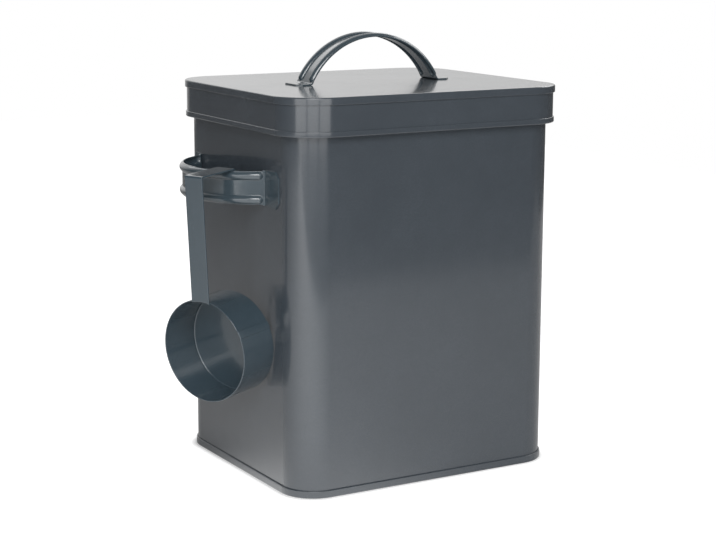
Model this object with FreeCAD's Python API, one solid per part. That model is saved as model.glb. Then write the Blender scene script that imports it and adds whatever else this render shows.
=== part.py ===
import FreeCAD
import Part
import os
from math import atan2, cos, degrees, radians, sin, sqrt

# Sheet metal storage canister with a lift-off lid, strap handles and a scoop.
# Millimetres. X runs along the wide front, which faces -Y, Z is up and the
# origin is the middle of the base on the surface that the canister stands on.

# Box of the body, measured on the outside of its wall
body_width = 230.0
body_depth = 196.0
corner_radius = 26.5
overall_height = 300.0

# Sheet and strap thicknesses
wall_sheet = 0.8
base_sheet = 0.8
lid_sheet = 0.8
strap_sheet = 1.0
scoop_sheet = 0.8
retainer_sheet = 0.8

# Room between pieces that are folded or welded together, and between pieces
# that come apart
seam_clearance = 0.1
lift_clearance = 0.3

# Rolled mouth of the wall and the locked seam down the middle of its back
curl_diameter = 5.1
curl_end_angle = 120.0
side_seam_width = 6.0
side_seam_height = 0.9
side_seam_end_gap = 3.0

# Edge of the base, folded up round the foot of the wall
base_band_height = 5.8
base_band_thickness = 1.25
base_foot_radius = 1.1
base_band_rounding = 0.45

# Lid: a panel folded down over a skirt with a hemmed lower edge
skirt_depth = 29.0
rim_height = 5.7
rim_thickness = 1.25
rim_rounding = 1.1
rim_foot_rounding = 0.4
hem_height = 4.3
hem_proud = 0.9
hem_rounding = 0.4
skirt_seam_width = 7.0
skirt_seam_height = 0.4
skirt_seam_end_gap = 0.5

# Seal ring under the lid and the joggled ring that holds its inner flange
seal_height = 5.8
seal_inward = 1.4
seal_flange_length = 4.1
seal_flange_thickness = 1.1
retainer_weld_width = 6.3
retainer_lip_gap = 0.6

# Lid handle, an arched strap along the width
lid_handle_half_span = 57.8
lid_handle_rise = 36.5
lid_handle_width = 24.0
lid_handle_tab_width = 25.0
lid_handle_tab = 11.0
lid_handle_chamfer = 4.0
lid_handle_setback = -0.5

# Side handles, the same kind of strap bowed out of each side wall
side_handle_half_span = 55.7
side_handle_rise = 36.5
side_handle_width = 25.0
side_handle_tab_width = 28.0
side_handle_front_tab = 20.2
side_handle_back_tab = 12.5
side_handle_chamfer = 5.0
side_handle_middle_height = 229.2
side_handle_setback = 8.1

# Form that all straps share: tab bends and two pressed beads
tab_bend_radius = 1.6
bead_width = 6.4
bead_height = 2.1
bead_edge = 0.3
bead_end_gap = 0.5
flare_length = 4.0

# Scoop: a round cup on a flat strap with a square hook
scoop_radius = 39.3
scoop_depth = 34.0
scoop_floor_bend = 0.3
scoop_flange_length = 0.3
scoop_lap_width = 6.0
scoop_lap_height = 0.6
scoop_lap_angle = 26.0
scoop_strap_width = 16.7
scoop_strap_height = 133.2
scoop_tab_length = 12.0
hook_reach = 38.0
hook_drop = 19.0
hook_bend_radius = 0.6
# Place of the hook round the left handle, and the turn of the scoop
hook_angle = 35.8
scoop_turn = 23.3

# Sizes that follow from the ones above
half_width = body_width / 2
half_depth = body_depth / 2
curl_reach = curl_diameter - wall_sheet
skirt_inside = curl_reach + lift_clearance
skirt_outside = skirt_inside + lid_sheet
panel_underside = overall_height - lid_sheet
seal_underside = panel_underside - seam_clearance - seal_height
wall_height = seal_underside - lift_clearance
wall_foot = base_sheet + seam_clearance
skirt_foot = overall_height - skirt_depth

X_AXIS = FreeCAD.Vector(1, 0, 0)
Y_AXIS = FreeCAD.Vector(0, 1, 0)
Z_AXIS = FreeCAD.Vector(0, 0, 1)
ORIGIN = FreeCAD.Vector(0, 0, 0)


def at(x, y, z):
    return FreeCAD.Vector(x, y, z)


def outline(path):
    """Closed wire in the XZ plane. A path item is a point, or a pair of points
    that an arc goes through and ends at."""
    edges = []
    last = at(path[0][0], 0, path[0][1])
    for item in path[1:] + path[:1]:
        if isinstance(item[0], tuple):
            middle, end = [at(x, 0, z) for x, z in item]
            edges.append(Part.Arc(last, middle, end).toShape())
        else:
            end = at(item[0], 0, item[1])
            edges.append(Part.LineSegment(last, end).toShape())
        last = end
    return Part.Wire(edges)


def on_circle(centre, radius, angle):
    """Point of a circle in the XZ plane, the angle in degrees from +X to +Z."""
    return (centre[0] + radius * cos(radians(angle)), centre[1] + radius * sin(radians(angle)))


def arc(centre, radius, first, last):
    """Arc item of an outline, between two angles round a centre."""
    return (on_circle(centre, radius, (first + last) / 2), on_circle(centre, radius, last))


def joined(shapes):
    solid = shapes[0].fuse(shapes[1:]) if len(shapes) > 1 else shapes[0]
    return solid.removeSplitter()


def ring(path):
    """Solid ring that follows the rounded body. The section's x is measured
    outwards from the outside of the wall."""
    face = Part.Face(outline(path))
    pieces = []
    for turn in range(4):
        reach, length = (half_width, half_depth) if turn % 2 == 0 else (half_depth, half_width)
        straight = length - corner_radius
        side = face.translated(at(reach, -straight, 0)).extrude(at(0, 2 * straight, 0))
        corner = face.translated(at(corner_radius, 0, 0)).revolve(ORIGIN, Z_AXIS, 90)
        corner.translate(at(reach - corner_radius, straight, 0))
        for piece in (side, corner):
            piece.rotate(ORIGIN, Z_AXIS, 90 * turn)
            pieces.append(piece)
    return joined(pieces)


def rounded_plate(offset, bottom, top):
    """Flat plate with the body's rounded outline, moved outwards by offset."""
    side_x, side_y = half_width - corner_radius, half_depth - corner_radius
    long_way = Part.makeBox(2 * (half_width + offset), 2 * side_y, top - bottom,
                            at(-half_width - offset, -side_y, bottom))
    short_way = Part.makeBox(2 * side_x, 2 * (half_depth + offset), top - bottom,
                             at(-side_x, -half_depth - offset, bottom))
    corners = [Part.makeCylinder(corner_radius + offset, top - bottom, at(x, y, bottom))
               for x in (-side_x, side_x) for y in (-side_y, side_y)]
    return joined([long_way, short_way] + corners)


def body_wall():
    """One wrapped sheet, its mouth rolled outwards and its ends locked together
    in a flat seam down the back."""
    centre = (curl_diameter / 2 - wall_sheet, wall_height - curl_diameter / 2)
    outer = curl_diameter / 2
    inner = outer - wall_sheet
    shell = ring([(-wall_sheet, wall_foot), (-wall_sheet, centre[1]),
                  arc(centre, outer, 180, 0), arc(centre, outer, 0, -curl_end_angle),
                  on_circle(centre, inner, -curl_end_angle),
                  arc(centre, inner, -curl_end_angle, 0), arc(centre, inner, 0, 180),
                  (0, wall_foot)])
    bottom = base_band_height + side_seam_end_gap
    top = wall_height - curl_diameter - side_seam_end_gap
    seam = Part.makeBox(side_seam_width, side_seam_height + wall_sheet / 2, top - bottom,
                        at(-side_seam_width / 2, half_depth - wall_sheet / 2, bottom))
    return joined([shell, seam])


def base_panel():
    """Flat bottom whose edge is folded up round the foot of the wall."""
    outside = seam_clearance + base_band_thickness
    foot = (outside - base_foot_radius, base_foot_radius)
    crown = (outside - base_band_rounding, base_band_height - base_band_rounding)
    inside = -wall_sheet - seam_clearance
    edge = ring([(inside, 0), (foot[0], 0), arc(foot, base_foot_radius, -90, 0),
                 (outside, crown[1]), arc(crown, base_band_rounding, 0, 90),
                 (seam_clearance, base_band_height), (seam_clearance, base_sheet),
                 (inside, base_sheet)])
    return joined([rounded_plate(inside, 0, base_sheet), edge])


def lid_panel():
    """Flat top whose edge is folded down round the head of the skirt."""
    inside = skirt_outside + seam_clearance
    outside = inside + rim_thickness
    bottom = overall_height - rim_height
    crown = (outside - rim_rounding, overall_height - rim_rounding)
    foot = (outside - rim_foot_rounding, bottom + rim_foot_rounding)
    edge = ring([(0, panel_underside), (inside, panel_underside), (inside, bottom),
                 (foot[0], bottom), arc(foot, rim_foot_rounding, -90, 0),
                 (outside, crown[1]), arc(crown, rim_rounding, 0, 90), (0, overall_height)])
    return joined([rounded_plate(0, panel_underside, overall_height), edge])


def lid_skirt():
    """Band of the lid, its lower edge hemmed outwards and its ends lapped and
    welded at the back."""
    fold = lid_sheet + hem_proud
    proud = skirt_outside + hem_proud
    turn = (skirt_inside + fold / 2, skirt_foot + fold / 2)
    crown = (proud - hem_rounding, skirt_foot + hem_height - hem_rounding)
    head = panel_underside - seam_clearance
    band = ring([(skirt_inside, head), (skirt_inside, turn[1]),
                 arc(turn, fold / 2, 180, 360), (proud, crown[1]),
                 arc(crown, hem_rounding, 0, 90), (skirt_outside, skirt_foot + hem_height),
                 (skirt_outside, head)])
    bottom = skirt_foot + hem_height + skirt_seam_end_gap
    top = overall_height - rim_height - skirt_seam_end_gap
    lap = Part.makeBox(skirt_seam_width, lid_sheet / 2 + skirt_seam_height, top - bottom,
                       at(-skirt_seam_width / 2, half_depth + skirt_outside - lid_sheet / 2, bottom))
    return joined([band, lap])


def lid_seal():
    """Silicone ring that the mouth of the wall presses into, with an inner
    flange that the retainer holds."""
    top = panel_underside - seam_clearance
    outside = skirt_inside - lift_clearance
    step = top - seal_flange_thickness
    flange = -seal_inward - seal_flange_length
    return ring([(-seal_inward, seal_underside), (outside, seal_underside), (outside, top),
                 (flange, top), (flange, step), (-seal_inward, step)])


def seal_retainer():
    """Joggled ring welded under the panel, its lip under the seal's flange."""
    top = panel_underside - seam_clearance
    step = -seal_inward - seal_flange_length - 2 * seam_clearance
    lip_top = top - seal_flange_thickness - seam_clearance
    lip_end = -seal_inward - retainer_lip_gap
    inner = step - retainer_sheet - retainer_weld_width
    return ring([(inner, top), (step, top), (step, lip_top), (lip_end, lip_top),
                 (lip_end, lip_top - retainer_sheet),
                 (step - retainer_sheet, lip_top - retainer_sheet),
                 (step - retainer_sheet, top - retainer_sheet), (inner, top - retainer_sheet)])


def arch_radius(half_span, rise):
    """Outer radius of an arch that rises over a chord on its tabs' plane."""
    return (half_span ** 2 + rise ** 2) / (2 * rise)


def pressed_bead(middle_radius, section_radius, half_sweep):
    """Round bead round the Y axis, from -X over +Z to +X, with ball ends."""
    disc = Part.Face(Part.Wire(Part.makeCircle(section_radius, at(0, 0, middle_radius), X_AXIS)))
    disc.rotate(ORIGIN, Y_AXIS, -half_sweep)
    pieces = [disc.revolve(ORIGIN, Y_AXIS, 2 * half_sweep)]
    for end in (-half_sweep, half_sweep):
        ball = Part.makeSphere(section_radius, at(0, 0, middle_radius))
        ball.rotate(ORIGIN, Y_AXIS, end)
        pieces.append(ball)
    return joined(pieces)


def strap_handle(half_span, rise, width, tab_width, tabs, chamfer):
    """Arched strap between two tabs, with a bead pressed along each edge. It
    spans X and rises along Z from tabs on Z = 0. tabs are their lengths at -X
    and at +X."""
    radius = arch_radius(half_span, rise)
    centre = (0, rise - radius)
    bend_height = strap_sheet + tab_bend_radius
    bend_x = sqrt((radius + tab_bend_radius) ** 2 - (bend_height - centre[1]) ** 2)
    slope = degrees(atan2(bend_height - centre[1], bend_x))
    left_bend, right_bend = (-bend_x, bend_height), (bend_x, bend_height)
    left_end, right_end = -bend_x - tabs[0], bend_x + tabs[1]
    under = tab_bend_radius + strap_sheet
    side_view = [(left_end, strap_sheet), (-bend_x, strap_sheet),
                 arc(left_bend, tab_bend_radius, -90, -slope),
                 arc(centre, radius, 180 - slope, slope),
                 arc(right_bend, tab_bend_radius, 180 + slope, 270),
                 (right_end, strap_sheet), (right_end, 0), (bend_x, 0),
                 arc(right_bend, under, 270, 180 + slope),
                 arc(centre, radius - strap_sheet, slope, 180 - slope),
                 arc(left_bend, under, -slope, -90), (left_end, 0)]
    band = Part.Face(outline(side_view)).extrude(at(0, tab_width, 0))
    band.translate(at(0, -tab_width / 2, 0))

    # Seen from above the arch is narrow, flares at the bends, and the tab ends
    # have their corners cut off
    right_half = [(bend_x - flare_length, width / 2), (bend_x, (width + tab_width) / 4),
                  (right_end - chamfer, tab_width / 2), (right_end, tab_width / 2 - chamfer)]
    left_half = [(flare_length - bend_x, width / 2), (-bend_x, (width + tab_width) / 4),
                 (left_end + chamfer, tab_width / 2), (left_end, tab_width / 2 - chamfer)]
    upper = left_half[::-1] + right_half
    corners = upper + [(x, -y) for x, y in upper[::-1]]
    blank = Part.Face(Part.makePolygon([at(x, y, 0) for x, y in corners + corners[:1]]))
    strap = band.common(blank.extrude(at(0, 0, rise + strap_sheet)))

    section = ((bead_width / 2) ** 2 + bead_height ** 2) / (2 * bead_height)
    middle_radius = radius + bead_height - section
    sweep = 90 - slope - degrees((bead_end_gap + bead_width / 2) / radius)
    inside = Part.makeCylinder(radius - strap_sheet / 2, 2 * tab_width, at(0, -tab_width, 0), Y_AXIS)
    ridge = pressed_bead(middle_radius, section, sweep).cut(inside)
    hollow = pressed_bead(middle_radius, section - strap_sheet, sweep)
    for side in (-1, 1):
        place = at(0, side * (width / 2 - bead_edge - bead_width / 2), centre[1])
        strap = strap.fuse(ridge.translated(place)).cut(hollow.translated(place))
    return strap.removeSplitter()


def lid_handle():
    strap = strap_handle(lid_handle_half_span, lid_handle_rise, lid_handle_width,
                         lid_handle_tab_width, (lid_handle_tab, lid_handle_tab), lid_handle_chamfer)
    return strap.translated(at(0, lid_handle_setback, overall_height))


def left_handle():
    strap = strap_handle(side_handle_half_span, side_handle_rise, side_handle_width,
                         side_handle_tab_width, (side_handle_front_tab, side_handle_back_tab),
                         side_handle_chamfer)
    strap.rotate(ORIGIN, Z_AXIS, 90)
    strap.rotate(ORIGIN, Y_AXIS, -90)
    return strap.translated(at(-half_width, side_handle_setback, side_handle_middle_height))


def right_handle():
    return left_handle().mirror(ORIGIN, X_AXIS)


# The scoop is drawn with its mouth circle round the origin, its floor towards
# +X and its strap up along +Z, and scoop_place then hangs it on the handle
strap_face = -seam_clearance - strap_sheet
strap_far_face = strap_face + hook_reach
cup_bore = scoop_radius - scoop_sheet


def tube(outer, inner, first, last):
    """Round tube along X."""
    solid = Part.makeCylinder(outer, last - first, at(first, 0, 0), X_AXIS)
    return solid.cut(Part.makeCylinder(inner, last - first, at(first, 0, 0), X_AXIS))


def scoop_wall():
    """Rolled cup wall, its ends lapped and welded at the side."""
    cup = tube(scoop_radius, cup_bore, 0, scoop_depth)
    lap = Part.makePlane(scoop_depth, scoop_sheet / 2 + scoop_lap_height,
                         at(0, 0, scoop_radius + scoop_lap_height), at(0, 1, 0), X_AXIS)
    lap_sweep = degrees(scoop_lap_width / scoop_radius)
    lap.rotate(ORIGIN, X_AXIS, 90 - scoop_lap_angle - lap_sweep / 2)
    return joined([cup, lap.revolve(ORIGIN, X_AXIS, lap_sweep)])


def scoop_base():
    """Floor pressed into the cup, with a flange turned back along the wall."""
    outside = cup_bore - seam_clearance
    outer_bend = scoop_floor_bend + scoop_sheet
    bend = (scoop_depth - scoop_flange_length, outside - outer_bend)
    floor = bend[0] - outer_bend
    face = Part.Face(outline([(floor, 0), (floor, bend[1]), arc(bend, outer_bend, 180, 90),
                              (scoop_depth, outside), (scoop_depth, outside - scoop_sheet),
                              (bend[0], outside - scoop_sheet), arc(bend, scoop_floor_bend, 90, 180),
                              (floor + scoop_sheet, 0)]))
    return face.revolve(ORIGIN, X_AXIS, 360)


def scoop_handle():
    """Strap bent square over its top into a hook, its foot welded in the cup."""
    outer_bend = hook_bend_radius + strap_sheet
    top = scoop_strap_height
    near = (strap_face + outer_bend, top - outer_bend)
    far = (strap_far_face - outer_bend, top - outer_bend)
    profile = outline([(strap_face, 0), (strap_face, near[1]), arc(near, outer_bend, 180, 90),
                       (far[0], top), arc(far, outer_bend, 90, 0),
                       (strap_far_face, top - hook_drop), (strap_far_face - strap_sheet, top - hook_drop),
                       (strap_far_face - strap_sheet, far[1]), arc(far, hook_bend_radius, 0, 90),
                       (near[0], top - strap_sheet), arc(near, hook_bend_radius, 90, 180),
                       (strap_face + strap_sheet, 0)])
    strap = Part.Face(profile).extrude(at(0, scoop_strap_width, 0))
    strap.translate(at(0, -scoop_strap_width / 2, 0))
    tab_outside = cup_bore - seam_clearance
    tab_inside = tab_outside - strap_sheet
    mouth = Part.makeCylinder(tab_inside, 2 * strap_sheet, at(strap_face - strap_sheet / 2, 0, 0), X_AXIS)
    strap = strap.cut(mouth)
    tab = tube(tab_outside, tab_inside, strap_face, scoop_tab_length)
    tab = tab.common(Part.makeBox(scoop_tab_length - strap_face, scoop_strap_width, scoop_radius,
                                  at(strap_face, -scoop_strap_width / 2, 0)))
    return joined([strap, tab])


def scoop_place():
    """Hangs the hook over the left handle, its back leg against the inside of
    the arch, and leans the scoop until its cup is just clear of the wall."""
    arch = arch_radius(side_handle_half_span, side_handle_rise)
    corner_gap = max(lift_clearance, hook_bend_radius - (hook_bend_radius - lift_clearance) / sqrt(2))
    room = arch - strap_sheet - corner_gap
    half_strap = scoop_strap_width / 2
    skew = radians(hook_angle - scoop_turn)
    distance = sqrt(room ** 2 - (half_strap * cos(skew)) ** 2) - half_strap * sin(skew)
    covered = sqrt(arch ** 2 - (distance * sin(skew) - half_strap) ** 2) - distance * cos(skew)
    seat_x = -half_width - side_handle_rise + arch - distance * cos(radians(hook_angle))
    seat_y = side_handle_setback - distance * sin(radians(hook_angle))
    strap_top = side_handle_middle_height + side_handle_width / 2
    hook_corner = at(strap_far_face - strap_sheet, 0, scoop_strap_height - strap_sheet)
    least, most = -30.0, 30.0
    while most - least > 1e-7:
        lean = (least + most) / 2
        turn = FreeCAD.Rotation(Z_AXIS, scoop_turn).multiply(FreeCAD.Rotation(Y_AXIS, -lean))
        lift = max(corner_gap, lift_clearance + covered * sin(radians(lean)))
        base = at(seat_x, seat_y, strap_top + lift) - turn.multVec(hook_corner)
        axis = turn.multVec(X_AXIS)
        cup_reach = base.x + axis.x * scoop_depth + scoop_radius * sqrt(1 - axis.x ** 2)
        if cup_reach > -half_width - lift_clearance:
            most = lean
        else:
            least = lean
    return FreeCAD.Placement(base, turn)


def hung(shape):
    placed = shape.copy()
    placed.transformShape(scoop_place().toMatrix())
    return placed


pieces = {
    "body_wall": body_wall(),
    "base_panel": base_panel(),
    "left_handle": left_handle(),
    "right_handle": right_handle(),
    "lid_panel": lid_panel(),
    "lid_skirt": lid_skirt(),
    "lid_handle": lid_handle(),
    "lid_seal": lid_seal(),
    "seal_retainer": seal_retainer(),
    "scoop_wall": hung(scoop_wall()),
    "scoop_base": hung(scoop_base()),
    "scoop_handle": hung(scoop_handle()),
}

os.makedirs("parts", exist_ok=True)
for name, shape in pieces.items():
    shape.exportStep("parts/" + name + ".step")
    box = shape.BoundBox
    print(name, "valid" if shape.isValid() else "INVALID", len(shape.Solids), "solid(s)",
          "volume", round(shape.Volume, 1), "x", round(box.XMin, 2), round(box.XMax, 2),
          "y", round(box.YMin, 2), round(box.YMax, 2), "z", round(box.ZMin, 2), round(box.ZMax, 2))
print("scoop hangs at", scoop_place())
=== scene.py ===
import math
import bpy
from mathutils import Matrix, Vector


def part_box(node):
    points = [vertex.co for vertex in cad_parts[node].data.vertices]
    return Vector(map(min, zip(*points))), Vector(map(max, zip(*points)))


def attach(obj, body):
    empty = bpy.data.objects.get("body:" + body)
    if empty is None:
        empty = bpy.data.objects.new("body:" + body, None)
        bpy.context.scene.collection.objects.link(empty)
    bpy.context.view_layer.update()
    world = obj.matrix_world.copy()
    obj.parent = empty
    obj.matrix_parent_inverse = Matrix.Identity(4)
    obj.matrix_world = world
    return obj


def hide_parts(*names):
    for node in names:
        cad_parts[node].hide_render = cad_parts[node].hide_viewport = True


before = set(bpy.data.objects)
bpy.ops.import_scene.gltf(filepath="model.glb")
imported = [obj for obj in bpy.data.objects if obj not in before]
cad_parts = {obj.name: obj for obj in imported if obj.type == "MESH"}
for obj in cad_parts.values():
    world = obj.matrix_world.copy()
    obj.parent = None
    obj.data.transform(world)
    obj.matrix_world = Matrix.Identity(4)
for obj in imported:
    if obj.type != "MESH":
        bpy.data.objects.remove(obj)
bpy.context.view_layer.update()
scene = bpy.context.scene
scene.view_settings.view_transform = "Standard"

# Camera: left of the front and a little above, through a portrait lens, as
# the photograph was taken. Its picture is 716 pixels wide.
camera_yaw, camera_pitch, camera_roll = 0.52787, 0.19182, 0.00389
camera_distance = 1.42791
camera_aim = Vector((0.0, 0.0, 0.150))
aim_right, aim_up = -0.00717, -0.00159
focal_pixels, picture_pixels, sensor_mm = 1775, 716, 36
nearest_seen = 0.05
facing = Matrix.Rotation(-camera_yaw, 4, "Z") @ Matrix.Rotation(math.pi / 2 - camera_pitch, 4, "X")
stand = camera_aim + facing.to_3x3() @ Vector((aim_right, aim_up, camera_distance))
bpy.ops.object.camera_add(location=stand)
camera = bpy.context.object
camera.matrix_world = Matrix.Translation(stand) @ facing @ Matrix.Rotation(camera_roll, 4, "Z")
camera.data.sensor_width = sensor_mm
camera.data.lens = focal_pixels * sensor_mm / picture_pixels
camera.data.clip_start = nearest_seen
scene.camera = camera

# Floor: white paper swept out under the canister. The camera sees it glow white,
# but less close to the foot: there the real shadow shows, and the drop in glow
# paints a thin shadow band round the foot too. In gloss the paper glows in a
# painted pool of light on the side towards the boxes.
floor_reach = 1.65
floor_centre = (-0.30, 0.85)
paper_white = 0.72
paper_roughness = 0.9
base_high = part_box("base_panel")[1]
foot_radius = 0.0278
# Painted shadow: within this reach of the foot the paper glows less to the camera.
painted_shadow_reach = 0.006
painted_shadow_glow, paper_glow_far = 0.35, 0.95
# Painted light: in gloss the paper glows in a pool on this side, falling off away from it.
painted_light_side = Vector((-1, -1, 0)).normalized()
painted_light_from, painted_light_falloff = -0.6, 3.5
bpy.ops.object.select_all(action="DESELECT")
bpy.ops.mesh.primitive_plane_add(size=2 * floor_reach, location=(*floor_centre, 0))
floor = bpy.context.object
floor.name = "studio_floor"
paper_material = bpy.data.materials.new("studio_paper")
paper_material.use_nodes = True
tree = paper_material.node_tree
paper = tree.nodes["Principled BSDF"]
paper.inputs["Base Color"].default_value = (paper_white, paper_white, paper_white, 1)
paper.inputs["Roughness"].default_value = paper_roughness
paper.inputs["Specular IOR Level"].default_value = 0.0
paper.inputs["Emission Color"].default_value = (1, 1, 1, 1)


def new_step(tree, kind, operation=None, **values):
    """Adds a node. Each value goes to the input of its name, with underscores for
    spaces, or to the input of its number: as a link if it is a socket, or plain."""
    step = tree.nodes.new(kind)
    if operation:
        step.operation = operation
    for name, value in values.items():
        socket = step.inputs[int(name[1:])] if name[0] == "_" else step.inputs[name.replace("_", " ")]
        if isinstance(value, bpy.types.NodeSocket):
            tree.links.new(value, socket)
        else:
            socket.default_value = value
    return step.outputs


def arithmetic(tree, operation, first, second):
    """Result of a math operation on two values."""
    return new_step(tree, "ShaderNodeMath", operation, _0=first, _1=second)[0]


def ramp(tree, value, low, high, to_low, to_high):
    """Maps a value from one range to another and holds it there."""
    return new_step(tree, "ShaderNodeMapRange", Value=value, From_Min=low, From_Max=high,
                    To_Min=to_low, To_Max=to_high)[0]


def mirrored_or_through(tree, rays):
    """Mask of the rays that come off a gloss or through glass."""
    return arithmetic(tree, "MAXIMUM", rays.outputs["Is Glossy Ray"], rays.outputs["Is Transmission Ray"])


spot = tree.nodes.new("ShaderNodeNewGeometry").outputs["Position"]
corner = (base_high.x - foot_radius, base_high.y - foot_radius, 0)
folded = new_step(tree, "ShaderNodeVectorMath", "ABSOLUTE", _0=spot)[0]
from_corner = new_step(tree, "ShaderNodeVectorMath", "SUBTRACT", _0=folded, _1=corner)[0]
past_foot = new_step(tree, "ShaderNodeVectorMath", "MAXIMUM", _0=from_corner, _1=(0, 0, 0))[0]
away = new_step(tree, "ShaderNodeVectorMath", "LENGTH", _0=past_foot)["Value"]
# Painted shadow: the glow the camera sees drops close to the foot.
camera_glow_with_painted_shadow = ramp(tree, away, foot_radius, foot_radius + painted_shadow_reach, painted_shadow_glow, paper_glow_far)
# Painted light: in gloss and through glass the paper glows brighter towards the boxes' side.
outward = new_step(tree, "ShaderNodeVectorMath", "NORMALIZE", _0=spot)[0]
towards_painted_light = new_step(tree, "ShaderNodeVectorMath", "DOT_PRODUCT", _0=outward, _1=painted_light_side)["Value"]
painted_light_share = ramp(tree, towards_painted_light, painted_light_from, 1.0, 0.0, 1.0)
painted_light_in_gloss = arithmetic(tree, "POWER", painted_light_share, painted_light_falloff)
rays = tree.nodes.new("ShaderNodeLightPath")
painted_light_mirrored = arithmetic(tree, "MULTIPLY", mirrored_or_through(tree, rays), painted_light_in_gloss)
floor_glow_with_painted_light = new_step(tree, "ShaderNodeMix", Factor=rays.outputs["Is Camera Ray"], A=painted_light_mirrored, B=camera_glow_with_painted_shadow)[0]
tree.links.new(floor_glow_with_painted_light, paper.inputs["Emission Strength"])
floor.data.materials.append(paper_material)

# Surround: white where the camera looks, and in gloss a white backdrop behind
# the canister, where the lid mirrors it, and a dim studio all round.
surround_level = 0.08
backdrop_side = Vector((0.20, 0.75, 0.63))
backdrop_from, backdrop_full = 0.55, 0.85
backdrop_level = 0.82
surround = bpy.data.worlds.new("studio_surround")
scene.world = surround
surround.use_nodes = True
tree = surround.node_tree
sky_direction = tree.nodes.new("ShaderNodeTexCoord").outputs["Generated"]
towards_backdrop = new_step(tree, "ShaderNodeVectorMath", "DOT_PRODUCT", _0=sky_direction,
                            _1=backdrop_side)["Value"]
in_gloss = ramp(tree, towards_backdrop, backdrop_from, backdrop_full, surround_level, backdrop_level)
rays = tree.nodes.new("ShaderNodeLightPath")
shown = new_step(tree, "ShaderNodeMix", Factor=mirrored_or_through(tree, rays), A=surround_level,
                 B=in_gloss)[0]
whole = new_step(tree, "ShaderNodeMix", Factor=rays.outputs["Is Camera Ray"], A=shown, B=1.0)[0]
background = tree.nodes["Background"]
tree.links.new(whole, background.inputs["Strength"])
background.inputs["Color"].default_value = (1, 1, 1, 1)

# Lamps: a soft box above the camera and a row of weak low ones under it light
# the front and the corner, and others fill the right and the back.
lamp_ring, lamp_centre = 1.8, Vector((0.0, 0.0, 0.15))
box_width, box_height = 0.9, 0.75
low_places, low_elevation, low_watts = (-60, -30, 0), 9, 4.5


def soft_box(name, azimuth, elevation, watts):
    """Hangs a rectangular lamp on the ring round the canister, turned to its
    middle. The azimuth is counted from the front, -Y, towards +X."""
    across, up = math.radians(azimuth), math.radians(elevation)
    outwards = Vector((math.sin(across) * math.cos(up), -math.cos(across) * math.cos(up), math.sin(up)))
    bpy.ops.object.light_add(type="AREA", location=lamp_centre + lamp_ring * outwards)
    lamp = bpy.context.object
    lamp.name = name
    lamp.data.shape = "RECTANGLE"
    lamp.data.size = box_width
    lamp.data.size_y = box_height
    lamp.data.energy = watts
    lamp.rotation_euler = (-outwards).to_track_quat("-Z", "Y").to_euler()
    lamp.visible_camera = False


soft_box("key_box", -28, 35, 15.0)
for azimuth in low_places:
    soft_box("low_box", azimuth, low_elevation, low_watts)
soft_box("right_fill", 85, 35, 6.0)
soft_box("back_right_fill", 125, 35, 4.0)
soft_box("back_fill", 180, 40, 2.0)

# Body wall: one steel sheet wrapped round the four corners, powder coated, its
# mouth rolled outwards into a curl and its ends locked in a flat seam behind.
wall_low, wall_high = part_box("body_wall")
half_width = -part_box("left_handle")[1].x
half_depth = half_width - (base_high.x - base_high.y)
corner_radius = 0.0265
corner_steps = 20
wall_sheet = 0.0008
curl_radius = 0.00255
curl_turn, curl_steps = 300, 24
seam_width, seam_height, seam_end_gap = 0.006, 0.0009, 0.003
seam_fade = 0.0015
seam_fold_steps = 4
seam_ledge = 0.0002
dot_size = 0.001
edge_rounding = 0.0001
meeting, on_line_reach, face_reach = 1e-6, 1e-6, 1e-5
sharp_fold, smooth_bend = math.radians(40), math.radians(50)
body_colour = (0.061, 0.073, 0.087)
coat_roughness, coat_index, coat_clear_roughness = 0.26, 1.5, 0.11
peel_strength, peel_depth = 0.10, 0.0001
peel_scale, grain_scale, cloud_scale, speck_scale = 1100, 5200, 16, 2300
noise_middle, speck_tops = (0.3, 0.7), (0.62, 0.80)
cloud_shades, speck_shades = (0.95, 1.05), (1.0, 1.25)
cloud_gloss, grain_gloss, grain_heights = (-0.02, 0.02), (-0.03, 0.03), (0.0, 0.35)


def first_point(name, x, y, z):
    """New piece with one vertex, left in edit mode, that a section is drawn from."""
    bpy.ops.object.select_all(action="DESELECT")
    bpy.ops.mesh.primitive_plane_add(size=dot_size, location=(x, y, z))
    bpy.ops.object.transform_apply(location=True)
    bpy.ops.object.mode_set(mode="EDIT")
    bpy.ops.mesh.select_all(action="SELECT")
    bpy.ops.mesh.merge(type="CENTER")
    piece = bpy.context.object
    piece.name = name
    piece.data.name = name
    return piece


def run(x=0.0, y=0.0, z=0.0):
    """Draws what is selected out along a straight."""
    bpy.ops.mesh.extrude_region_move(TRANSFORM_OT_translate={"value": (x, y, z)})


def bend(degrees, centre, axis="Y", steps=6):
    """Draws what is selected out round an axis, right-handed."""
    direction = {"X": (1, 0, 0), "Y": (0, 1, 0), "Z": (0, 0, 1)}[axis]
    bpy.ops.mesh.spin(steps=steps, angle=-math.radians(degrees), center=centre, axis=direction)


def close_up():
    """Merges what meets, turns all faces outwards and leaves edit mode."""
    bpy.ops.mesh.select_all(action="SELECT")
    bpy.ops.mesh.remove_doubles(threshold=meeting)
    bpy.ops.mesh.normals_make_consistent(inside=False)
    bpy.ops.object.mode_set(mode="OBJECT")


def round_the_body(back_stops=()):
    """Carries the drawn section round the four sides, back to where it began. It
    sets a line of vertices at each of the stops along X on the back."""
    bpy.ops.mesh.select_all(action="SELECT")
    side_x, side_y = half_width - corner_radius, half_depth - corner_radius
    run(y=2 * side_y)
    bend(90, (side_x, side_y, 0), "Z", corner_steps)
    for start, stop in zip((side_x, *back_stops), (*back_stops, -side_x)):
        run(x=stop - start)
    bend(90, (-side_x, side_y, 0), "Z", corner_steps)
    run(y=-2 * side_y)
    bend(90, (-side_x, -side_y, 0), "Z", corner_steps)
    run(x=2 * side_x)
    bend(90, (side_x, -side_y, 0), "Z", corner_steps)
    close_up()


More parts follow.
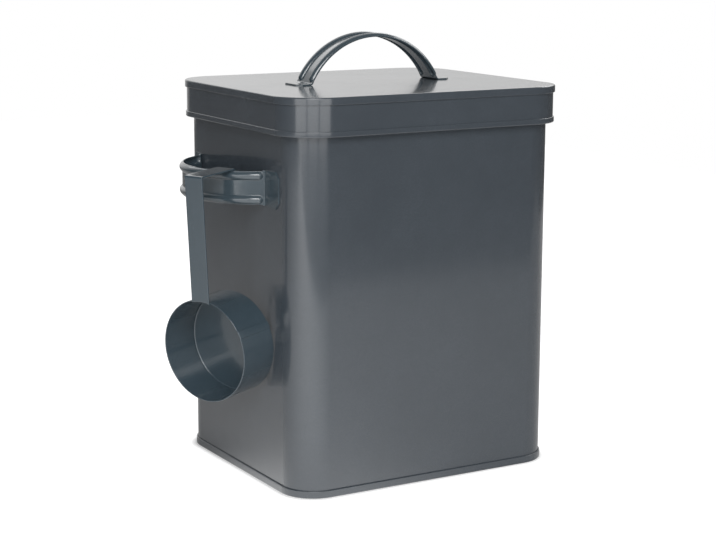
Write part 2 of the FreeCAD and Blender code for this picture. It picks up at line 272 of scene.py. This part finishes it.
def pick(piece, wanted):
    """Selects the vertices whose place passes a test and opens edit mode."""
    bpy.ops.object.mode_set(mode="OBJECT")
    for part in (*piece.data.polygons, *piece.data.edges):
        part.select = False
    for vertex in piece.data.vertices:
        vertex.select = wanted(vertex.co)
    bpy.ops.object.mode_set(mode="EDIT")
    bpy.ops.mesh.select_mode(type="VERT")


def modify(piece, kind, **settings):
    """Adds a modifier with its settings and applies it."""
    bpy.context.view_layer.objects.active = piece
    modifier = piece.modifiers.new(kind.lower(), kind)
    for name, value in settings.items():
        setattr(modifier, name, value)
    bpy.ops.object.modifier_apply(modifier=modifier.name)


def finish_edges(piece, rounding=0.0):
    """Rounds the cut edges as the coat does, and shades sheets flat to their bends."""
    if rounding:
        modify(piece, "BEVEL", width=rounding, segments=2, limit_method="ANGLE", angle_limit=sharp_fold)
    bpy.ops.object.select_all(action="DESELECT")
    piece.select_set(True)
    bpy.context.view_layer.objects.active = piece
    bpy.ops.object.shade_smooth_by_angle(angle=smooth_bend)
    modify(piece, "WEIGHTED_NORMAL", keep_sharp=True)


def coat_finish():
    """Node group of the powder coat: fine orange peel, faint clouds and specks."""
    tree = bpy.data.node_groups.new("powder_coat_finish", "ShaderNodeTree")
    sockets = (("Colour", "INPUT", "NodeSocketColor"), ("Roughness", "INPUT", "NodeSocketFloat"),
               ("Colour", "OUTPUT", "NodeSocketColor"), ("Roughness", "OUTPUT", "NodeSocketFloat"),
               ("Height", "OUTPUT", "NodeSocketFloat"))
    for name, way, kind in sockets:
        tree.interface.new_socket(name=name, in_out=way, socket_type=kind)
    given = tree.nodes.new("NodeGroupInput").outputs
    result = tree.nodes.new("NodeGroupOutput").inputs
    place = tree.nodes.new("ShaderNodeTexCoord").outputs["Object"]

    def noise(scale, detail):
        return new_step(tree, "ShaderNodeTexNoise", Vector=place, Scale=scale, Detail=detail)["Fac"]

    peel, grain = noise(peel_scale, 2), noise(grain_scale, 1)
    clouds, specks = noise(cloud_scale, 3), noise(speck_scale, 0)
    shade = arithmetic(tree, "MULTIPLY", ramp(tree, clouds, *noise_middle, *cloud_shades),
                       ramp(tree, specks, *speck_tops, *speck_shades))
    shaded = new_step(tree, "ShaderNodeVectorMath", "SCALE", _0=given["Colour"], Scale=shade)[0]
    tree.links.new(shaded, result["Colour"])
    uneven = arithmetic(tree, "ADD", ramp(tree, clouds, *noise_middle, *cloud_gloss),
                        ramp(tree, grain, *noise_middle, *grain_gloss))
    tree.links.new(arithmetic(tree, "ADD", given["Roughness"], uneven), result["Roughness"])
    rough_top = ramp(tree, grain, 0.0, 1.0, *grain_heights)
    tree.links.new(arithmetic(tree, "ADD", peel, rough_top), result["Height"])
    return tree


coat_group = coat_finish()


def powder_coat(name, colour):
    """Material of a baked powder coat in its own colour."""
    material = bpy.data.materials.new(name)
    material.use_nodes = True
    nodes, links = material.node_tree.nodes, material.node_tree.links
    surface = nodes["Principled BSDF"]
    surface.inputs["IOR"].default_value = coat_index
    surface.inputs["Coat Weight"].default_value = 1.0
    surface.inputs["Coat Roughness"].default_value = coat_clear_roughness
    surface.inputs["Coat IOR"].default_value = coat_index
    coat = nodes.new("ShaderNodeGroup")
    coat.node_tree = coat_group
    coat.inputs["Colour"].default_value = (*colour, 1)
    coat.inputs["Roughness"].default_value = coat_roughness
    bump = nodes.new("ShaderNodeBump")
    bump.inputs["Strength"].default_value = peel_strength
    bump.inputs["Distance"].default_value = peel_depth
    links.new(coat.outputs["Colour"], surface.inputs["Base Color"])
    links.new(coat.outputs["Roughness"], surface.inputs["Roughness"])
    links.new(coat.outputs["Height"], bump.inputs["Height"])
    links.new(bump.outputs[0], surface.inputs["Normal"])
    return material


def hand_over(piece, node, body, material):
    """Gives a piece its material and its place in the assembly."""
    piece.data.materials.clear()
    piece.data.materials.append(material)
    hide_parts(node)
    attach(piece, body)


def raise_strip(piece, outside, profile, low, high):
    """Lifts lines of vertices off a flat back: profile holds their places along X
    with their heights, and low and high bound them."""
    for x, height in profile:
        def on_line(place):
            at_line = abs(place.x - x) < on_line_reach
            return at_line and place.y > outside - face_reach and low < place.z < high

        pick(piece, on_line)
        bpy.ops.transform.translate(value=(0, height, 0))
    bpy.ops.object.mode_set(mode="OBJECT")


section_y = corner_radius - half_depth
curl_x = half_width - wall_sheet + curl_radius
curl_z = wall_high.z - curl_radius
seam_low = base_high.z + seam_end_gap
seam_high = wall_high.z - 2 * curl_radius - seam_end_gap
fold_turns = [math.pi / 2 * step / seam_fold_steps for step in range(seam_fold_steps + 1)]
seam_profile = [(seam_width / 2 - seam_height * (1 - math.cos(turn)), seam_height * math.sin(turn))
                for turn in fold_turns]
seam_profile += [(seam_ledge - seam_width / 2, seam_height), (-seam_width / 2, 0)]
wall = first_point("wall_with_rolled_mouth", half_width - wall_sheet, section_y, wall_low.z)
run(z=seam_low - wall_low.z)
run(z=seam_fade)
run(z=seam_high - seam_low - 2 * seam_fade)
run(z=seam_fade)
run(z=curl_z - seam_high)
bend(curl_turn, (curl_x, section_y, curl_z), steps=curl_steps)
round_the_body([x for x, height in seam_profile])
modify(wall, "SOLIDIFY", thickness=wall_sheet, offset=-1, use_even_offset=True)
raise_strip(wall, half_depth, seam_profile, seam_low + seam_fade / 2, seam_high - seam_fade / 2)
body_coat = powder_coat("body_powder_coat", body_colour)
finish_edges(wall, edge_rounding)
hand_over(wall, "body_wall", "canister", body_coat)

# Base panel: a flat bottom of the same coated sheet, its edge folded up into a
# band that grips the foot of the wall.
base_sheet = 0.0008
seam_gap = 0.0001
band_rounding = 0.00045
foot_rounding = 0.0011
bottom_field = 0.004
fold_steps = 4
base_inside = half_width - wall_sheet - seam_gap
base = first_point("base_with_folded_band", base_inside - bottom_field, section_y, base_sheet)
run(x=bottom_field + wall_sheet + 2 * seam_gap)
run(z=base_high.z - band_rounding - base_sheet)
band_top = base_high.z - band_rounding
bend(90, (half_width + seam_gap + band_rounding, section_y, band_top), steps=fold_steps)
run(x=base_high.x - half_width - seam_gap - 2 * band_rounding)
bend(90, (base_high.x - band_rounding, section_y, band_top), steps=fold_steps)
run(z=foot_rounding - base_high.z + band_rounding)
bend(90, (base_high.x - foot_rounding, section_y, foot_rounding))
run(x=base_inside - bottom_field - base_high.x + foot_rounding)
round_the_body()


def fill_sheet(piece, reach, heights):
    """Closes the middle of a ring with a flat sheet at each of its heights."""
    for height in heights:
        pick(piece, lambda place: abs(place.x) < reach + meeting and abs(place.z - height) < meeting)
        bpy.ops.mesh.edge_face_add()
    bpy.ops.mesh.select_all(action="SELECT")
    bpy.ops.mesh.normals_make_consistent(inside=False)
    bpy.ops.object.mode_set(mode="OBJECT")


fill_sheet(base, base_inside - bottom_field, (0.0, base_sheet))
finish_edges(base)
hand_over(base, "base_panel", "canister", body_coat)

# Lid panel: the flat top sheet, its edge folded down into the rim band that
# clasps the head of the skirt.
lid_low, lid_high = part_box("lid_panel")
lid_sheet = 0.0008
rim_thickness = 0.00125
rim_rounding = 0.0011
rim_foot_rounding = 0.0004
lid_field = 0.004
rim_inside = lid_high.x - rim_thickness
rim_foot_x, rim_foot_z = lid_high.x - rim_foot_rounding, lid_low.z + rim_foot_rounding
lid = first_point("lid_panel_with_rim", half_width - lid_field, section_y, lid_high.z - lid_sheet)
run(x=rim_inside - half_width + lid_field)
run(z=lid_low.z + rim_foot_rounding - lid_high.z + lid_sheet)
bend(-90, (rim_inside + rim_foot_rounding, section_y, rim_foot_z), steps=fold_steps)
run(x=rim_thickness - 2 * rim_foot_rounding)
bend(-90, (rim_foot_x, section_y, rim_foot_z), steps=fold_steps)
run(z=lid_high.z - rim_rounding - rim_foot_z)
bend(-90, (lid_high.x - rim_rounding, section_y, lid_high.z - rim_rounding))
run(x=half_width - lid_field - lid_high.x + rim_rounding)
round_the_body()
fill_sheet(lid, half_width - lid_field, (lid_high.z - lid_sheet, lid_high.z))
finish_edges(lid)
hand_over(lid, "lid_panel", "lid", body_coat)

# Lid skirt: a deep band of coated sheet under the rim, its lower edge folded
# outwards into a flat hem and its ends lapped and welded behind.
skirt_low, skirt_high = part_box("lid_skirt")
skirt_sheet = 0.0008
hem_height = 0.0043
hem_rounding = 0.0004
lap_width, lap_height, lap_end_gap = 0.007, 0.0004, 0.0005
lap_fade, lap_edge, lap_joggle = 0.0003, 0.0001, 0.0012
hem_steps = 10
skirt_outside = rim_inside - seam_gap
skirt_inside = skirt_outside - skirt_sheet
hem_fold = (skirt_high.x - skirt_inside) / 2
hem_crown = skirt_low.z + hem_height - hem_rounding
lap_low = hem_crown + hem_rounding + lap_end_gap
lap_high = lid_low.z - lap_end_gap
lap_profile = [(lap_width / 2, 0), (lap_width / 2 - lap_joggle, lap_height),
               (lap_edge - lap_width / 2, lap_height), (-lap_width / 2, 0)]
skirt = first_point("lid_skirt_with_hem", skirt_inside, section_y, skirt_high.z)
run(z=skirt_low.z + hem_fold - skirt_high.z)
bend(-180, (skirt_inside + hem_fold, section_y, skirt_low.z + hem_fold), steps=hem_steps)
run(z=hem_crown - skirt_low.z - hem_fold)
bend(-90, (skirt_high.x - hem_rounding, section_y, hem_crown), steps=fold_steps)
run(x=skirt_outside - skirt_high.x + hem_rounding)
run(z=lap_low - hem_crown - hem_rounding)
run(z=lap_fade)
run(z=lap_high - lap_low - 2 * lap_fade)
run(z=lap_fade)
run(z=skirt_high.z - lap_high)
run(x=-skirt_sheet)
round_the_body([x for x, height in lap_profile])
raise_strip(skirt, half_depth + skirt_outside - half_width, lap_profile, lap_low + lap_fade / 2,
            lap_high - lap_fade / 2)
finish_edges(skirt)
hand_over(skirt, "lid_skirt", "lid", body_coat)

# Seal: a soft silicone ring under the lid that the rolled mouth presses into,
# with an inner flange that the retainer holds.
seal_low, seal_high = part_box("lid_seal")
seal_inward = 0.0014
seal_flange_length = 0.0041
seal_flange_thickness = 0.0011
seal_rounding = 0.0003
seal = first_point("silicone_seal", half_width - seal_inward, section_y, seal_low.z)
run(x=seal_high.x - half_width + seal_inward)
run(z=seal_high.z - seal_low.z)
run(x=half_width - seal_inward - seal_flange_length - seal_high.x)
run(z=-seal_flange_thickness)
run(x=seal_flange_length)
run(z=seal_low.z - seal_high.z + seal_flange_thickness)
round_the_body()
finish_edges(seal, seal_rounding)
silicone_index = 1.41
bloom_scale, bloom_detail = 60, 4
dark_tone, light_tone = (0.30, 0.31, 0.31, 1), (0.40, 0.41, 0.41, 1)
smoothest, roughest = 0.45, 0.65
dimple_strength, dimple_depth = 0.15, 0.0002
silicone = bpy.data.materials.new("grey_silicone")
silicone.use_nodes = True
tree = silicone.node_tree
surface = tree.nodes["Principled BSDF"]
surface.inputs["IOR"].default_value = silicone_index
place = tree.nodes.new("ShaderNodeTexCoord").outputs["Object"]
bloom = new_step(tree, "ShaderNodeTexNoise", Vector=place, Scale=bloom_scale, Detail=bloom_detail)["Fac"]
tone = tree.nodes.new("ShaderNodeMix")
tone.data_type = "RGBA"
tone.inputs["A"].default_value = dark_tone
tone.inputs["B"].default_value = light_tone
dimples = tree.nodes.new("ShaderNodeBump")
dimples.inputs["Strength"].default_value = dimple_strength
dimples.inputs["Distance"].default_value = dimple_depth
tree.links.new(bloom, tone.inputs["Factor"])
tree.links.new(tone.outputs["Result"], surface.inputs["Base Color"])
tree.links.new(ramp(tree, bloom, 0.0, 1.0, smoothest, roughest), surface.inputs["Roughness"])
tree.links.new(bloom, dimples.inputs["Height"])
tree.links.new(dimples.outputs[0], surface.inputs["Normal"])
hand_over(seal, "lid_seal", "lid", silicone)

# Retainer: a thin joggled ring of coated sheet welded under the panel, its lip
# under the flange of the seal.
retainer_low, retainer_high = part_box("seal_retainer")
retainer_sheet = 0.0008
retainer_lip_gap = 0.0006
retainer_weld = 0.0063
step_x = half_width - seal_inward - seal_flange_length - 2 * seam_gap
lip_x = half_width - seal_inward - retainer_lip_gap
retainer = first_point("seal_retainer_ring", step_x, section_y, retainer_high.z)
run(z=retainer_low.z + retainer_sheet - retainer_high.z)
run(x=lip_x - step_x)
run(z=-retainer_sheet)
run(x=step_x - retainer_sheet - lip_x)
run(z=retainer_high.z - retainer_sheet - retainer_low.z)
run(x=-retainer_weld)
run(z=retainer_sheet)
run(x=retainer_weld + retainer_sheet)
round_the_body()
finish_edges(retainer, edge_rounding)
hand_over(retainer, "seal_retainer", "lid", body_coat)

# Handles: steel straps bowed into an arch between two welded tabs, with a
# round bead pressed out along each edge. One is on the lid, one on each side.
strap_sheet = 0.001
tab_bend_radius = 0.0016
bead_width, bead_height, bead_edge = 0.0064, 0.0021, 0.0003
inner_root, outer_root = 0.0008, 0.0003
bead_end_gap = 0.0005
crown_steps, root_steps = 8, 3
end_rows, flare_rows = 16, 6
end_margin, coarse_step = 0.0005, 0.0022
strap_rounding = 0.0002
least_distance = 1e-9
strap_colour = (0.050, 0.072, 0.088)
strap_rise = 0.0365
lid_span_half, lid_strap_half, lid_tab_half = 0.0578, 0.012, 0.0125
lid_tabs, lid_chamfer, lid_setback = (0.011, 0.011), 0.004, -0.0005
side_span_half, side_strap_half, side_tab_half = 0.0557, 0.0125, 0.014
side_tabs, side_chamfer, side_setback = (0.0202, 0.0125), 0.005, 0.0081
side_middle_height = 0.2292


def bead_section(root):
    """Radius of the bead's crown, how far it turns down before the rounding at
    its root, and the reach of both from the bead's middle line."""
    crown = ((bead_width / 2) ** 2 + bead_height ** 2) / (2 * bead_height)
    turn = math.acos((crown - bead_height + root) / (crown + root))
    return crown, turn, (crown + root) * math.sin(turn)


def bead_rise(away, root):
    """Height of the pressed bead at a distance from its middle line."""
    crown, turn, reach = bead_section(root)
    if away < crown * math.sin(turn):
        return math.sqrt(crown ** 2 - away ** 2) - crown + bead_height
    if away < reach:
        return root - math.sqrt(root ** 2 - (reach - away) ** 2)
    return 0.0


def bead_stops(root):
    """Distances from the bead's middle line at even turns of its section."""
    crown, turn, reach = bead_section(root)
    on_crown = [crown * math.sin(turn * step / crown_steps) for step in range(1, crown_steps + 1)]
    root_turns = [turn * (1 - step / root_steps) for step in range(1, root_steps + 1)]
    on_root = [reach - root * math.sin(root_turn) for root_turn in root_turns]
    return on_crown + on_root


def resize_row(half, new_half):
    """Brings the row of vertices that is being drawn to a new half width."""
    bpy.ops.transform.resize(value=(1, new_half / half, 1), center_override=(0, 0, 0))


def face_up(piece):
    """Turns an open sheet over if the face at its top looks down."""
    bpy.ops.mesh.select_all(action="SELECT")
    bpy.ops.mesh.normals_make_consistent(inside=False)
    bpy.ops.object.mode_set(mode="OBJECT")
    if max(piece.data.polygons, key=lambda face: face.center.z).normal.z < 0:
        bpy.ops.object.mode_set(mode="EDIT")
        bpy.ops.mesh.flip_normals()
        bpy.ops.object.mode_set(mode="OBJECT")


def put_in_place(piece, place):
    """Moves a piece's mesh to its place, its object staying at the origin."""
    bpy.ops.object.select_all(action="DESELECT")
    piece.select_set(True)
    bpy.context.view_layer.objects.active = piece
    piece.matrix_world = place
    bpy.ops.object.transform_apply(location=True, rotation=True, scale=True)


def press_beads(strap, radius, centre_z, last_angle, bead_y):
    """Presses both beads into the two skins of an arch, the inner skin following
    the outer one."""
    for skin, push in (("outer_skin", bead_height), ("inner_skin", -bead_height)):
        pressed = strap.vertex_groups.new(name=skin)
        for vertex in strap.data.vertices:
            outer = math.hypot(vertex.co.x, vertex.co.z - centre_z) > radius - strap_sheet / 2
            along = abs(math.atan2(vertex.co.x, vertex.co.z - centre_z))
            past_end = max(0.0, along - last_angle) * radius
            off_line = abs(vertex.co.y) - bead_y
            away = math.hypot(past_end, off_line)
            root = inner_root + (outer_root - inner_root) * max(0.0, off_line) / max(away, least_distance)
            if outer == (push > 0):
                pressed.add([vertex.index], bead_rise(away, root) / bead_height, "REPLACE")
        modify(strap, "DISPLACE", strength=push, mid_level=0.0, vertex_group=skin)
    strap.vertex_groups.clear()


def bowed_strap(name, half_span, rise, half, tab_half, tabs, chamfer):
    """Strap that spans X and rises along Z from two tabs on Z = 0."""
    radius = (half_span ** 2 + rise ** 2) / (2 * rise)
    centre_z = rise - radius
    bend_z = strap_sheet + tab_bend_radius
    bend_x = math.sqrt((radius + tab_bend_radius) ** 2 - (bend_z - centre_z) ** 2)
    slope = math.degrees(math.atan2(bend_z - centre_z, bend_x))
    bead_y = half - bead_edge - bead_width / 2
    inner, outer = bead_stops(inner_root), bead_stops(outer_root)
    stops = [0.0, (bead_y - inner[-1]) / 2, *(bead_y - away for away in reversed(inner)), bead_y,
             *(bead_y + away for away in outer), half]
    row = [-y for y in reversed(stops)] + stops[1:]
    strap = first_point(name, -bend_x - tabs[0], -half, strap_sheet)
    for before, after in zip(row, row[1:]):
        run(y=after - before)
    bpy.ops.mesh.select_all(action="SELECT")

    # Tab, its corners cut off, and the bend up into the arch
    flare_half = (half + tab_half) / 2
    resize_row(half, tab_half - chamfer)
    run(x=chamfer)
    resize_row(tab_half - chamfer, tab_half)
    run(x=tabs[0] - chamfer)
    resize_row(tab_half, flare_half)
    bend(slope - 90, (-bend_x, 0, bend_z))

    # Arch, its rows close together where the beads end
    end_length = bead_end_gap + bead_width / 2 + end_margin
    flares = [min(1, count / flare_rows) for count in range(end_rows + 1)]
    end_halves = [flare_half + (half - flare_half) * share for share in flares]
    middle = math.radians(180 - 2 * slope) * radius - 2 * end_length
    for halves in (end_halves, end_halves[::-1]):
        for before, after in zip(halves, halves[1:]):
            bend(math.degrees(end_length / end_rows / radius), (0, 0, centre_z), steps=1)
            resize_row(before, after)
        if halves is end_halves:
            bend(math.degrees(middle / radius), (0, 0, centre_z), steps=round(middle / coarse_step))
    bend(slope - 90, (bend_x, 0, bend_z))
    run(x=tabs[1] - chamfer)
    resize_row(flare_half, tab_half)
    run(x=chamfer)
    resize_row(tab_half, tab_half - chamfer)
    face_up(strap)
    modify(strap, "SOLIDIFY", thickness=strap_sheet, offset=-1, use_even_offset=True)
    last_angle = math.radians(90 - slope) - (bead_end_gap + bead_width / 2) / radius
    press_beads(strap, radius, centre_z, last_angle, bead_y)
    return strap


strap_coat = powder_coat("strap_powder_coat", strap_colour)
lid_handle = bowed_strap("lid_strap_handle", lid_span_half, strap_rise, lid_strap_half, lid_tab_half,
                         lid_tabs, lid_chamfer)
put_in_place(lid_handle, Matrix.Translation((0, lid_setback, lid_high.z)))
finish_edges(lid_handle, strap_rounding)
hand_over(lid_handle, "lid_handle", "lid", strap_coat)

upright = Matrix.Rotation(math.radians(-90), 4, "Y") @ Matrix.Rotation(math.radians(90), 4, "Z")
left_handle = bowed_strap("left_strap_handle", side_span_half, strap_rise, side_strap_half,
                          side_tab_half, side_tabs, side_chamfer)
left_seat = Matrix.Translation((-half_width, side_setback, side_middle_height))
put_in_place(left_handle, left_seat @ upright)
bpy.ops.object.duplicate()
right_handle = bpy.context.object
right_handle.name = "right_strap_handle"
right_handle.data.name = "right_strap_handle"
put_in_place(right_handle, Matrix.Scale(-1, 4, (1, 0, 0)))
bpy.ops.object.mode_set(mode="EDIT")
close_up()
for handle, node in ((left_handle, "left_handle"), (right_handle, "right_handle")):
    finish_edges(handle, strap_rounding)
    hand_over(handle, node, "canister", strap_coat)

# Scoop wall: a strip of coated sheet rolled into a cup, its ends lapped and
# welded at the side. It is drawn with its mouth on the YZ plane, then hung.
scoop_turn, scoop_lean = 23.3, 3.63755
mouth_centre = (-0.162177, -0.036092, 0.108104)
scoop_radius, scoop_depth, scoop_sheet = 0.0393, 0.034, 0.0008
cup_lap_width, cup_lap_height, cup_lap_angle = 0.006, 0.0006, 64.0
lap_flank = 0.4
lip_steps, past_middle = 8, 0.55
# Painted tint: the scoop's coat is set bluer than the body's to stand in for the cool light that falls in
# the cup.
scoop_colour = (0.052, 0.078, 0.098)
hung = (Matrix.Translation(mouth_centre) @ Matrix.Rotation(math.radians(scoop_turn), 4, "Z")
        @ Matrix.Rotation(math.radians(-scoop_lean), 4, "Y"))
scoop_coat = powder_coat("scoop_powder_coat", scoop_colour)
bore = scoop_radius - scoop_sheet
lap_sweep = math.degrees(cup_lap_width / scoop_radius)
lap_start = cup_lap_angle - lap_sweep / 2
cup = first_point("scoop_cup_wall", scoop_depth, 0, bore)
run(x=scoop_sheet / 2 - scoop_depth)
bend(180, (scoop_sheet / 2, 0, bore + scoop_sheet / 2), steps=lip_steps)
run(x=scoop_depth - scoop_sheet / 2)
run(z=-scoop_sheet)
bpy.ops.mesh.select_all(action="SELECT")

# Arcs with their steps: up to the lap, a flank, the lap, a flank, the rest
arcs = ((lap_start, 16), (lap_flank, 1), (lap_sweep - 2 * lap_flank, 4), (lap_flank, 1),
        (360 - lap_start - lap_sweep, 84))
for sweep, steps in arcs:
    bend(sweep, (0, 0, 0), "X", steps)
close_up()


def in_the_lap(place):
    """Outer side of the lapped ends, which lie one over the other."""
    angle = math.degrees(math.atan2(-place.y, place.z))
    outer = math.hypot(place.y, place.z) > bore + past_middle * scoop_sheet
    return outer and lap_start + lap_flank / 2 < angle < lap_start + lap_sweep - lap_flank / 2


pick(cup, in_the_lap)
lap_ratio = (scoop_radius + cup_lap_height) / scoop_radius
bpy.ops.transform.resize(value=(1, lap_ratio, lap_ratio), center_override=(0, 0, 0))
bpy.ops.object.mode_set(mode="OBJECT")
put_in_place(cup, hung)
finish_edges(cup)
hand_over(cup, "scoop_wall", "scoop", scoop_coat)

# Scoop base: a pressed disc of coated sheet, its rim turned back along the
# wall of the cup and welded there, the joint inside filled to a small cove.
floor_bend, flange_length = 0.0003, 0.0003
cove_radius = 0.0010
disc_steps = 96
base_radius = bore - seam_gap
outer_bend = floor_bend + scoop_sheet
bend_x, bend_z = scoop_depth - flange_length, base_radius - outer_bend
cove_x = bend_x - outer_bend - cove_radius
cup_base = first_point("scoop_cup_base", bend_x - outer_bend, 0, 0)
run(z=base_radius - cove_radius)
bend(-90, (cove_x, 0, base_radius - cove_radius))
run(x=scoop_depth - cove_x)
run(z=-scoop_sheet)
run(x=-flange_length)
bend(-90, (bend_x, 0, bend_z), steps=fold_steps)
run(z=-bend_z)
bpy.ops.mesh.select_all(action="SELECT")
bend(360, (0, 0, 0), "X", disc_steps)
close_up()
put_in_place(cup_base, hung)
finish_edges(cup_base)
hand_over(cup_base, "scoop_base", "scoop", scoop_coat)

# Scoop handle: a flat coated strap, its foot curved and welded inside the cup,
# its head bent square over and down into the hook that hangs on the handle.
strap_half, strap_top, strap_columns = 0.00835, 0.1332, 12
tab_length = 0.012
hook_reach, hook_drop, hook_bend, hook_steps = 0.038, 0.019, 0.0006, 6
tab_inside = bore - seam_gap - strap_sheet
strap_face = -seam_gap - strap_sheet
fold = hook_bend + strap_sheet
half_sweep = math.degrees(math.asin(strap_half / tab_inside))
near_x, far_x, shoulder = strap_face + fold, strap_face + hook_reach - fold, strap_top - fold
tab_edge = tab_inside * math.cos(math.radians(half_sweep))
scoop_strap = first_point("scoop_strap_handle", tab_length, -strap_half, tab_edge)
bend(-2 * half_sweep, (tab_length, 0, 0), "X", strap_columns)
bpy.ops.mesh.select_all(action="SELECT")
run(x=near_x - tab_length)
for step in range(hook_steps):
    before, after = [math.radians(90 * count / hook_steps) for count in (step, step + 1)]
    run(x=fold * (math.sin(before) - math.sin(after)), z=fold * (math.cos(before) - math.cos(after)))
run(z=shoulder - fold - tab_inside)
bpy.ops.transform.resize(value=(1, 1, 0), center_override=(strap_face, 0, shoulder))
bend(90, (near_x, 0, shoulder), steps=hook_steps)
run(x=far_x - near_x)
bend(90, (far_x, 0, shoulder), steps=hook_steps)
run(z=fold - hook_drop)
face_up(scoop_strap)
modify(scoop_strap, "SOLIDIFY", thickness=strap_sheet, offset=-1, use_even_offset=True)
put_in_place(scoop_strap, hung)
finish_edges(scoop_strap, strap_rounding)
hand_over(scoop_strap, "scoop_handle", "scoop", scoop_coat)
